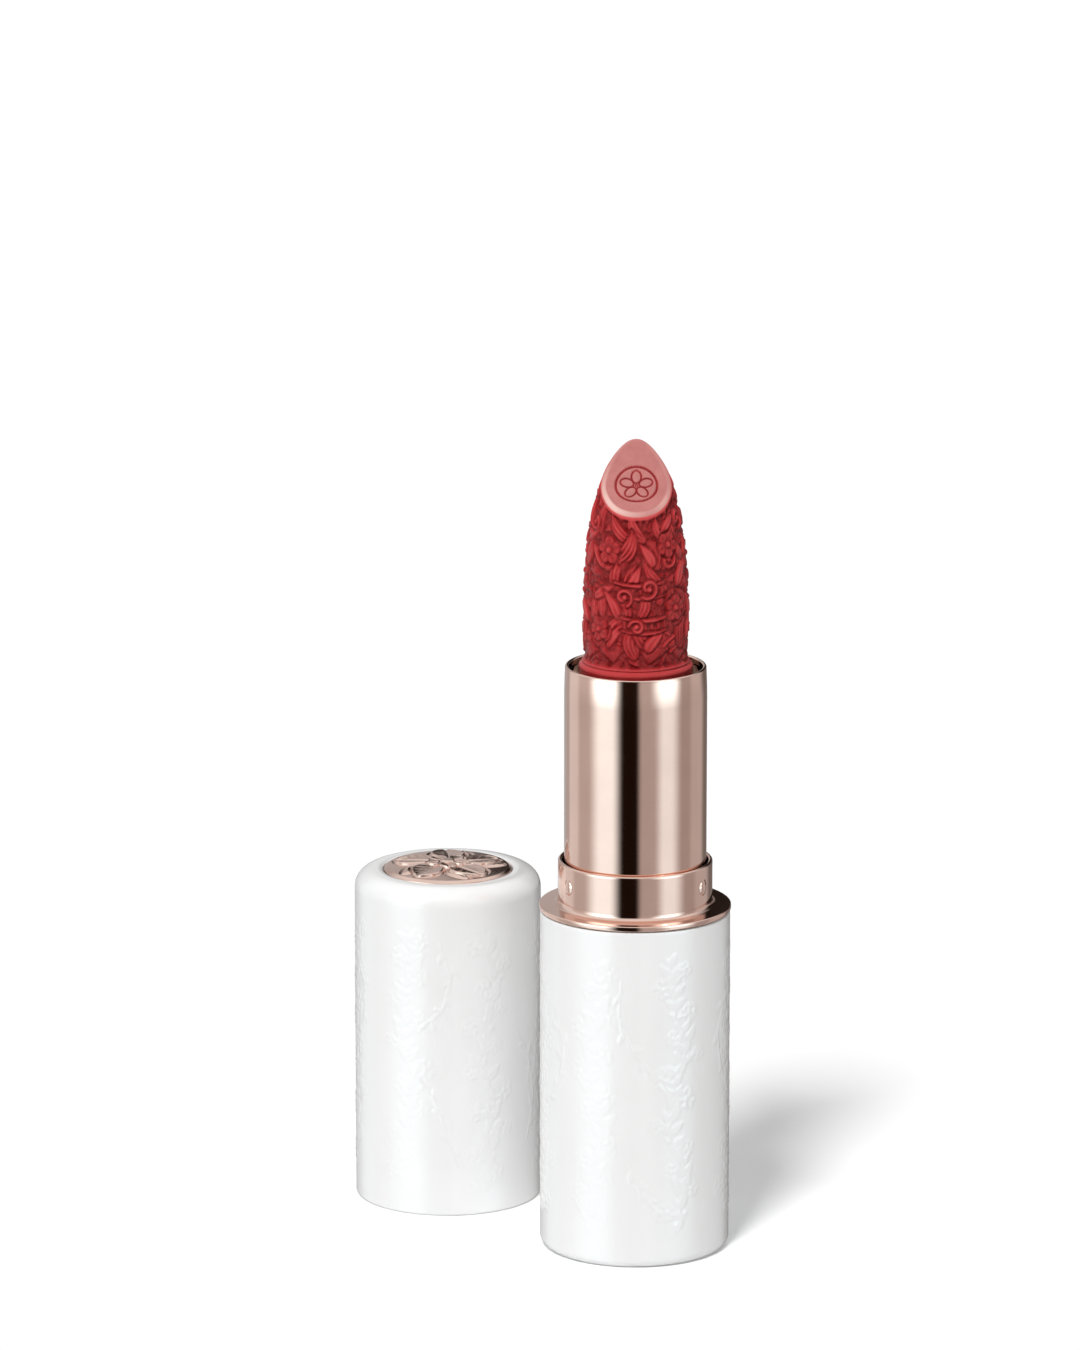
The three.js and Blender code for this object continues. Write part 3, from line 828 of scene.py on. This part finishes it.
def swirl(rel, x, y, heading, length, curl, ribs, gap, half, level, rise, groove, floor):
    """A ribbed scroll leaf: ribs that part from one point, run side by side along a curve and meet again."""
    n = 12
    pts, a = [(x, y)], heading
    normals = [(-math.sin(a), math.cos(a))]
    for i in range(n):
        a += curl / n * (0.5 + i / n)
        pts.append((pts[-1][0] + math.cos(a) * length / n, pts[-1][1] + math.sin(a) * length / n))
        normals.append((-math.sin(a), math.cos(a)))
    pts, normals = np.array(pts), np.array(normals)
    swell = np.sin(math.pi * (0.06 + 0.94 * np.linspace(0, 1, n + 1)) ** 0.8)[:, None] ** 0.8
    order = sorted(range(ribs), key=lambda k: -abs(k - (ribs - 1) / 2))
    for k in order:
        off = (k - (ribs - 1) / 2) * gap
        rel.stroke(
            pts + normals * off * swell,
            half,
            level - 0.05 * abs(off),
            rise,
            groove if k == order[0] or k == order[1 % ribs] else groove * 0.45,
            floor,
            taper=(0.55, 0.4),
        )


def carving(theta, z):
    """Foliage carved all over the side, from 0 at the surface to about half a millimetre deep."""
    radius = 6.1
    wrap = TAU * radius
    u = (theta + math.pi / 2) * radius
    rel = Relief(u, z, -0.5, wrap)
    deep = -0.6
    rel.h += 0.05 * np.sin(rel.u / radius * 19 + 1.3 * np.sin(1.7 * rel.v)) * np.sin(2.3 * rel.v + 0.9 * np.sin(rel.u / radius * 7))
    rng = np.random.default_rng(41)

    def fill(tries, reach, small, large):
        """Small leaves wherever the ground still lies bare."""
        for _ in range(tries):
            x, v = rng.uniform(0, wrap), rng.uniform(69.2, 94.0)
            a, ln = rng.uniform(0, TAU), rng.uniform(small, large)
            wide, bend = rng.uniform(0.24, 0.32), rng.uniform(-0.35, 0.35)
            m, _, _ = rel.near(x, v, reach)
            if not len(m) or rel.h[m].max() > -0.4:
                continue
            rel.leaf(
                x - 0.5 * ln * math.cos(a),
                v - 0.5 * ln * math.sin(a),
                a,
                ln,
                ln * wide,
                -0.44,
                0.22,
                bend=bend,
                groove=0.12,
                floor=deep,
                vein=0.5,
                edge=0.07,
            )

    # small leaves and petals that fill the ground in every direction
    for k in range(720):
        rel.leaf(
            rng.uniform(0, wrap),
            rng.uniform(69.4, 93.5),
            rng.uniform(0, TAU),
            rng.uniform(1.5, 2.8),
            rng.uniform(0.34, 0.58),
            rng.uniform(-0.46, -0.30),
            rng.uniform(0.14, 0.24),
            bend=rng.uniform(-0.4, 0.4),
            groove=0.2,
            floor=deep,
            vein=0.55,
            cupped=bool(k % 3 == 0),
            edge=0.07,
        )
    fill(700, 0.3, 1.2, 2.0)
    # fluted shells round the foot
    n = 9
    for k in range(n):
        x = wrap * (k + 0.35) / n
        tall = 3.0 if k % 2 else 4.1
        rel.fan(x, 69.7, math.pi / 2 + rng.uniform(-0.2, 0.2), tall, 0.8, 6, -0.38, 0.3, groove=0.3, floor=deep)
        for rr, half in ((tall + 0.16, 0.2), (tall * 0.62, 0.13)):
            rel.stroke(
                [(x + rr * math.cos(a), 69.7 + rr * math.sin(a)) for a in np.linspace(0.7, 2.44, 14)],
                half,
                -0.26,
                0.2,
                groove=0.16,
                floor=deep,
            )
    # ribbed scroll leaves that climb and fold over each other
    for k in range(84):
        row = k % 6
        x = wrap * (k * 0.381966 % 1.0)
        side = 1 if k % 2 else -1
        swirl(
            rel,
            x,
            71.2 + 3.3 * row + rng.uniform(-0.8, 0.8),
            math.pi / 2 - side * rng.uniform(0.1, 1.3),
            rng.uniform(3.6, 5.6),
            side * rng.uniform(0.8, 2.3),
            3 if k % 3 else 4,
            rng.uniform(0.4, 0.52),
            rng.uniform(0.2, 0.27),
            rng.uniform(-0.36, -0.2),
            rng.uniform(0.2, 0.28),
            0.3,
            deep,
        )
    # broad folded leaves
    for k in range(34):
        side = 1 if k % 2 else -1
        rel.leaf(
            wrap * ((k * 0.618034 + 0.2) % 1.0),
            71.5 + 3.1 * (k % 6) + rng.uniform(-0.8, 0.8),
            math.pi / 2 + side * rng.uniform(0.1, 0.9),
            rng.uniform(2.8, 4.2),
            rng.uniform(0.5, 0.8),
            rng.uniform(-0.3, -0.22),
            0.27,
            bend=side * rng.uniform(0.15, 0.45),
            groove=0.28,
            floor=deep,
            vein=0.75,
            edge=0.07,
        )
    # tiers of curved bands with pleats below them
    for x0, zz, half_w, sag in (
        (1.0, 75.2, 2.9, -0.35),
        (0.4, 79.2, 3.2, -0.3),
        (-12.0, 76.6, 3.0, -0.4),
        (12.4, 78.8, 3.2, -0.35),
        (-19.0, 80.6, 3.0, -0.4),
        (21.5, 74.8, 2.8, -0.3),
    ):
        for t in np.linspace(-0.85, 0.85, 7):
            x = x0 + half_w * t
            rel.stroke([(x, zz - 0.2), (x + 0.1, zz - 1.3)], 0.2, -0.42, 0.26, groove=0.2, floor=deep)
        for dz, half in ((0.0, 0.22), (-1.5, 0.17)):
            t = np.linspace(-1, 1, 14)
            pts = np.stack([x0 + half_w * t, zz + dz + sag * (1 - t * t)], 1)
            rel.stroke(pts, half, -0.24, 0.22, groove=0.26, floor=deep, taper=(0.5, 0.5))
    # scrolls
    for k in range(18):
        rel.scroll(
            wrap * k / 18 + rng.uniform(-0.7, 0.7),
            (73.6, 78.0, 82.0, 86.2)[k % 4] + rng.uniform(-0.7, 0.7),
            rng.uniform(0.9, 1.35),
            1.2,
            rng.uniform(0, TAU),
            1 if k % 2 else -1,
            0.22,
            -0.28,
            0.26,
            groove=0.26,
            floor=deep,
        )
    # blossoms
    for x, zz, r, turn in (
        (-3.7, 82.8, 1.7, 0.3),
        (4.3, 83.4, 1.6, 1.1),
        (-4.9, 73.6, 1.5, 0.7),
        (5.2, 76.0, 1.6, 0.2),
        (9.6, 81.6, 1.8, 0.9),
        (12.4, 73.6, 1.6, 0.1),
        (16.4, 84.6, 1.8, 0.6),
        (18.6, 77.4, 1.7, 1.0),
        (-9.4, 79.6, 1.8, 0.4),
        (-13.0, 84.4, 1.7, 0.8),
        (-16.4, 74.4, 1.7, 0.2),
        (19.1, 89.0, 1.5, 0.5),
        (-11.0, 88.6, 1.4, 0.9),
        (11.0, 88.4, 1.4, 0.3),
    ):
        rel.dome(x, zz, r * 1.02, deep, 0.02)
        for k in range(5):
            a = turn + k * TAU / 5
            rel.leaf(x, zz, a, r, r * 0.4, -0.34, 0.32, groove=0.2, floor=deep, vein=0.35, blunt=1.7, cupped=True, edge=0.07)
        rel.dome(x, zz, r * 0.24, -0.24, 0.22, 0.16, deep)
    fill(2200, 0.2, 0.8, 1.3)
    h = np.minimum(rel.out(), -0.02)
    # the edges are a little melted, as in moulded wax
    for _ in range(2):
        h = (np.roll(h, 1, 1) + 2 * h + np.roll(h, -1, 1)) / 4
    h[1:-1] = (h[:-2] + 2 * h[1:-1] + h[2:]) / 4
    return h


def bullet():
    segs = 400
    theta = np.arange(segs) * TAU / segs
    lo, hi = np.full(segs, 80.0), np.full(segs, 95.5)
    for _ in range(40):
        mid = (lo + hi) / 2
        above = mid - face_z(bullet_radius(mid) * np.sin(theta)) > 0
        hi = np.where(above, mid, hi)
        lo = np.where(above, lo, mid)
    z_rim = (lo + hi) / 2
    r_rim = bullet_radius(z_rim)
    rim = np.stack([r_rim * np.cos(theta), r_rim * np.sin(theta), z_rim], -1)

    foot = joined(
        line([0, 60.7], [5.65, 60.7], 2),
        line([5.65, 60.7], [5.95, 61.0], 1),
        line([5.95, 61.0], [5.95, 67.15], 2),
        line([5.97, 67.2], [6.42, 67.2], 1),
        arc(6.42, 67.26, 0.06, -90, 0, 2),
        line([6.48, 67.3], [6.48, 68.3], 2),
        arc(6.08, 68.42, 0.42, -15, 78, 9),
        arc(6.2, 69.02, 0.12, 240, 180, 2),
    )[1:]
    z_start = foot[-1][1]
    width = 0.44 - 0.3 * smooth(-0.2, 1.0, np.sin(theta))
    z_end = z_rim - width * 1.15
    n_side = 168
    t = np.linspace(0, 1, n_side)[:, None]
    z_side = z_start + 0.06 + t * (z_end - z_start - 0.06)
    th = np.broadcast_to(theta, z_side.shape)
    h = carving(th, z_side)
    near_tip = smooth(90.5, 94.0, z_end)
    border = smooth(0.04, 0.26 + 0.6 * near_tip, z_end - z_side) * smooth(0.05, 0.5, z_side - z_start)
    border = border * (1 - 0.8 * smooth(90.5, 94.2, z_side))
    h = h * border
    r_side = bullet_radius(z_side)
    slope = (bullet_radius(z_side + 0.2) - bullet_radius(z_side - 0.2)) / 0.4
    nr = 1 / np.sqrt(1 + slope**2)
    nz = -slope * nr
    rr = r_side + h * nr
    side = np.stack([rr * np.cos(th), rr * np.sin(th), z_side + h * nz], -1)

    mid = np.array([0.0, -1.75])
    inward = mid - rim[:, :2]
    reach = np.linalg.norm(inward, axis=1, keepdims=True)
    f_xy = rim[:, :2] + inward / reach * width[:, None]
    f_in = np.concatenate([f_xy, face_z(f_xy[:, 1])[:, None]], 1)
    tb = np.linspace(0, 1, 9)[1:-1, None, None]
    bevel = (1 - tb) ** 2 * side[-1][None] + 2 * tb * (1 - tb) * rim[None] + tb**2 * f_in[None]

    m = 44
    s = np.linspace(0, 1, m)[:-1, None, None]
    xy = f_xy[None] * (1 - s) + mid * s
    fz = face_z(xy[..., 1])
    rel = Relief(xy[..., 0], (xy[..., 1] + 1.72) / math.cos(math.radians(48)), 0.0)
    ring = [(2.35 * math.cos(a), 2.35 * math.sin(a)) for a in np.linspace(0, TAU, 49)]
    rel.stroke(ring, 0.15, -0.02, -0.16, edge=0.05)
    for k in range(5):
        a = math.pi / 2 + TAU * k / 5
        cx, cy = 1.12 * math.cos(a), 1.12 * math.sin(a)
        petal = [
            (
                cx + 0.78 * math.cos(b) * math.cos(a) - 0.56 * math.sin(b) * math.sin(a),
                cy + 0.78 * math.cos(b) * math.sin(a) + 0.56 * math.sin(b) * math.cos(a),
            )
            for b in np.linspace(0, TAU, 25)
        ]
        rel.stroke(petal, 0.115, -0.02, -0.14, edge=0.05)
    rel.dome(0, 0, 0.26, -0.02, -0.1)
    e = rel.out()
    top = np.stack([xy[..., 0], xy[..., 1] - e * 0.745, fz + e * 0.667], -1)

    low = np.stack(
        [
            foot[:, :1] * np.cos(theta),
            foot[:, :1] * np.sin(theta),
            foot[:, 1:] * np.ones(segs),
        ],
        -1,
    )
    body = np.concatenate([low, side, bevel, top])
    n = len(body)
    verts = np.concatenate(
        [body.reshape(-1, 3), [[0, 0, 60.7]], [[mid[0], mid[1], face_z(mid[1])]]]
    )
    quads = grid_faces(n, segs)
    j = np.arange(segs)
    under = np.stack([(j + 1) % segs, j, np.full(segs, n * segs)], 1)
    b = (n - 1) * segs
    cap = np.stack([b + j, b + (j + 1) % segs, np.full(segs, n * segs + 1)], 1)
    # painted shade mask: the deeper the carving, the darker the wax is coloured
    painted_shade = np.zeros((n, segs))
    painted_shade[len(low) : len(low) + len(side)] = np.clip(-h / 0.45, 0, 1)
    # painted shade on the foot: dark on the skirt down inside the tube and in the crease above the bead, faint on
    # the bead itself
    painted_foot_shade = 0.15 + 0.5 * (1 - smooth(68.1, 68.5, foot[:, 1]))
    painted_foot_shade[-2:] = 0.6
    painted_shade[: len(low)] = painted_foot_shade[:, None]
    # face mask: where the painted sheen colour of the flat face goes
    facing = np.zeros((n, segs))
    facing[len(low) + len(side) + 2 :] = 1.0
    facing[len(low) + len(side) + len(bevel) :] = 1.0
    painted_shade[len(low) + len(side) + len(bevel) :] = 0
    # painted shade in the emblem's engraved lines: the deeper the line, the darker, with the face's pale colour
    # taken out there
    emblem_groove_shade = np.clip(-e / 0.12, 0, 1)
    facing[len(low) + len(side) + len(bevel) :] = 1 - 0.95 * emblem_groove_shade
    painted_shade[len(low) + len(side) + len(bevel) :] = 0.75 * emblem_groove_shade
    edge = np.zeros((n, segs))
    first = len(low) + len(side)
    turn = np.degrees(theta)
    turn = (turn + 180) % 360 - 180
    # paler bevel round the face: a faint even pale tone all round, and painted highlights on the front-left and,
    # weaker, the front-right, where the light catches the bevel
    pale_bevel_and_highlight = 0.12 + 0.88 * np.exp(-(((turn + 128) / 36) ** 2)) + 0.35 * np.exp(-(((turn + 48) / 16) ** 2))
    edge[first + 2 : first + len(bevel)] = pale_bevel_and_highlight
    edge[first + 1] = edge[first + len(bevel)] = 0.4 * pale_bevel_and_highlight
    flat = lambda a, first, last: np.concatenate([a.ravel(), [first, last]])
    return mesh_object(
        "carved_bullet",
        verts,
        quads,
        np.concatenate([under, cap]),
        None,
        {"painted_shade": flat(painted_shade, 0, 0), "face": flat(facing, 0, 1), "edge": flat(edge, 0, 0)},
    )


dress(bullet(), RED, "bullet_carrier", ["lipstick_bullet"])

# ----------------------------------------------- inner parts kept from the CAD
for name, mat in (
    ("base_liner", INNER),
    ("guide_tube", INNER),
    ("cam_sleeve", INNER),
    ("carrier_cup", INNER),
    ("base_weight", STEEL),
    ("damping_ring", SILICONE),
    ("medallion_pad", SILICONE),
):
    o = frame["nodes"][name]
    dress(o, mat)
    weld = o.modifiers.new("weld", "WELD")
    weld.merge_threshold = 0.000002
    o.data.polygons.foreach_set("use_smooth", np.ones(len(o.data.polygons), bool))
    o.data.set_sharp_from_angle(angle=math.radians(35))


# ---------------------------------------------------------------------- stage
def stage_floor():
    n = 48
    theta = np.arange(n) * TAU / n
    rings = [0.0, 60.0, 250.0, 1000.0, 6000.0]
    verts = [[0, 0, -0.02]]
    for r in rings[1:]:
        verts += [[r * math.cos(a), r * math.sin(a), -0.02] for a in theta]
    j = np.arange(n)
    tris = np.stack([np.zeros(n, int), 1 + j, 1 + (j + 1) % n], 1)
    quads = np.concatenate(
        [
            np.stack([1 + k * n + j, 1 + (k + 1) * n + j, 1 + (k + 1) * n + (j + 1) % n, 1 + k * n + (j + 1) % n], 1)
            for k in range(len(rings) - 2)
        ]
    )
    me = bpy.data.meshes.new("floor")
    me.from_pydata((np.array(verts) * MM).tolist(), [], quads.tolist() + tris.tolist())
    o = bpy.data.objects.new("floor", me)
    bpy.context.scene.collection.objects.link(o)
    mat, nt, bsdf = material("floor", {"Roughness": 0.9, "Specular IOR Level": 0.1})
    nt.links.new(
        ramp(nt, noise(nt, 3, 2), [(0.3, (0.925, 0.925, 0.925)), (0.7, (0.935, 0.935, 0.935))]),
        bsdf.inputs["Base Color"],
    )
    bsdf.inputs["Emission Color"].default_value = (1, 1, 1, 1)
    bsdf.inputs["Emission Strength"].default_value = 0.095
    o.data.materials.append(mat)
    o.visible_glossy = False
    return o


stage_floor()

# ------------------------------------------------------------------ the light
# softboxes and flags by their azimuth round the object, in degrees to the right of the camera's side
CARDS = [
    (-180, -140, (0.50, 0.50, 0.50)),
    (-130, -112, (0.80, 0.84, 0.86)),
    (-100, -84, (0.58, 0.58, 0.58)),
    (-58, -40, (1.22, 1.48, 1.58)),
    (-20, 0, (0.012, 0.006, 0.004)),
    (11, 29, (0.50, 0.49, 0.49)),
    (47, 58, (1.03, 1.22, 1.30)),
    (82, 94, (0.43, 0.41, 0.41)),
    (106, 128, (0.56, 0.55, 0.55)),
    (148, 180, (0.20, 0.18, 0.17)),
]
# the same softboxes a little higher up, where they are wider and brighter
UPPER = [
    (-180, -140, (0.50, 0.50, 0.50)),
    (-130, -112, (0.85, 0.90, 0.92)),
    (-100, -86, (0.70, 0.70, 0.70)),
    (-61, -41, (2.3, 2.9, 3.1)),
    (-20, 0, (0.016, 0.009, 0.006)),
    (9, 20, (0.56, 0.55, 0.55)),
    (46, 60, (2.1, 2.7, 2.9)),
    (82, 94, (0.47, 0.45, 0.45)),
    (106, 122, (0.62, 0.61, 0.61)),
    (140, 180, (0.02, 0.015, 0.012)),
]
OVERHEAD = (0.95, 1.0, 1.02)
AMBIENT = 0.06


def world():
    w = bpy.data.worlds.new("studio")
    bpy.context.scene.world = w
    w.use_nodes = True
    nt = w.node_tree
    nt.nodes.clear()
    out = node(nt, "ShaderNodeOutputWorld")
    tc = node(nt, "ShaderNodeTexCoord")
    sep = node(nt, "ShaderNodeSeparateXYZ")
    nt.links.new(tc.outputs["Generated"], sep.inputs["Vector"])
    neg = node(nt, "ShaderNodeMath", operation="MULTIPLY")
    neg.inputs[1].default_value = -1
    nt.links.new(sep.outputs["Y"], neg.inputs[0])
    at = node(nt, "ShaderNodeMath", operation="ARCTAN2")
    nt.links.new(sep.outputs["X"], at.inputs[0])
    nt.links.new(neg.outputs[0], at.inputs[1])
    turn = node(nt, "ShaderNodeMath", operation="MULTIPLY_ADD")
    turn.inputs[1].default_value = 1 / TAU
    turn.inputs[2].default_value = 0.5
    nt.links.new(at.outputs[0], turn.inputs[0])
    rings = []
    for cards in (CARDS, UPPER):
        stops = []
        for a, b, c in cards:
            for deg in (a, b):
                stops.append((deg / 360 + 0.5, c))
        rings.append(ramp(nt, turn.outputs[0], stops, "EASE"))
    rising = spread(nt, sep.outputs["Z"], 0.0, 1.0, -0.224, -0.165)
    falling = spread(nt, sep.outputs["Z"], 1.0, 0.0, -0.11, -0.07)
    both = node(nt, "ShaderNodeMath", operation="MULTIPLY")
    nt.links.new(rising, both.inputs[0])
    nt.links.new(falling, both.inputs[1])
    upward = spread(nt, sep.outputs["Z"], 0.0, 1.0, 0.07, 0.13)
    either = node(nt, "ShaderNodeMath", operation="MAXIMUM")
    nt.links.new(both.outputs[0], either.inputs[0])
    nt.links.new(upward, either.inputs[1])
    higher = either.outputs[0]
    ring = mix_colour(nt, higher, rings[0], rings[1])
    above = spread(nt, sep.outputs["Z"], 0.0, 1.0, 0.42, 0.75)
    env = mix_colour(nt, above, ring, OVERHEAD)
    glossy = node(nt, "ShaderNodeBackground")
    nt.links.new(env, glossy.inputs["Color"])
    plain = node(nt, "ShaderNodeBackground")
    plain.inputs["Color"].default_value = (1, 1, 1, 1)
    plain.inputs["Strength"].default_value = AMBIENT
    seen = node(nt, "ShaderNodeBackground")
    seen.inputs["Color"].default_value = (1, 1, 1, 1)
    seen.inputs["Strength"].default_value = 1.05
    path = node(nt, "ShaderNodeLightPath")
    first = node(nt, "ShaderNodeMixShader")
    nt.links.new(path.outputs["Is Glossy Ray"], first.inputs["Fac"])
    nt.links.new(plain.outputs[0], first.inputs[1])
    nt.links.new(glossy.outputs[0], first.inputs[2])
    second = node(nt, "ShaderNodeMixShader")
    nt.links.new(path.outputs["Is Camera Ray"], second.inputs["Fac"])
    nt.links.new(first.outputs[0], second.inputs[1])
    nt.links.new(seen.outputs[0], second.inputs[2])
    nt.links.new(second.outputs[0], out.inputs["Surface"])


def sun(name, azimuth, elevation, strength, spread_deg, glossy=True):
    light = bpy.data.lights.new(name, "SUN")
    light.energy = strength
    light.angle = math.radians(spread_deg)
    o = bpy.data.objects.new(name, light)
    bpy.context.scene.collection.objects.link(o)
    a, e = math.radians(azimuth), math.radians(elevation)
    back = Vector((math.sin(a) * math.cos(e), -math.cos(a) * math.cos(e), math.sin(e)))
    o.rotation_mode = "QUATERNION"
    o.rotation_quaternion = back.to_track_quat("Z", "Y")
    o.visible_glossy = glossy
    return o


world()
sun("key", -20, 52, 2.34, 12, glossy=False)
sun("side", -85, 25, 0.22, 20, glossy=False)
sun("behind", 145, 35, 0.55, 70, glossy=False)
sun("top", 0, 90, 0.68, 60, glossy=False)
sun("glint", 46, 24, 0.08, 6)

# --------------------------------------------------------------------- camera
cam_data = bpy.data.cameras.new("camera")
cam = bpy.data.objects.new("camera", cam_data)
bpy.context.scene.collection.objects.link(cam)
ELEVATION = math.radians(13.333)
DISTANCE = 0.9
aim = Vector((-10.892, 0.0, 67.248)) * MM
back = Vector((0, -math.cos(ELEVATION), math.sin(ELEVATION)))
cam.location = aim + back * DISTANCE
cam.rotation_mode = "QUATERNION"
cam.rotation_quaternion = (-back).to_track_quat("-Z", "Y")
cam_data.sensor_width = 36
cam_data.lens = 36 * 7908.7 / 1350
cam_data.clip_start, cam_data.clip_end = 0.01, 20
cam_data.dof.use_dof = False
bpy.context.scene.camera = cam
bpy.context.scene.view_settings.view_transform = "Standard"
bpy.context.scene.view_settings.look = "None"
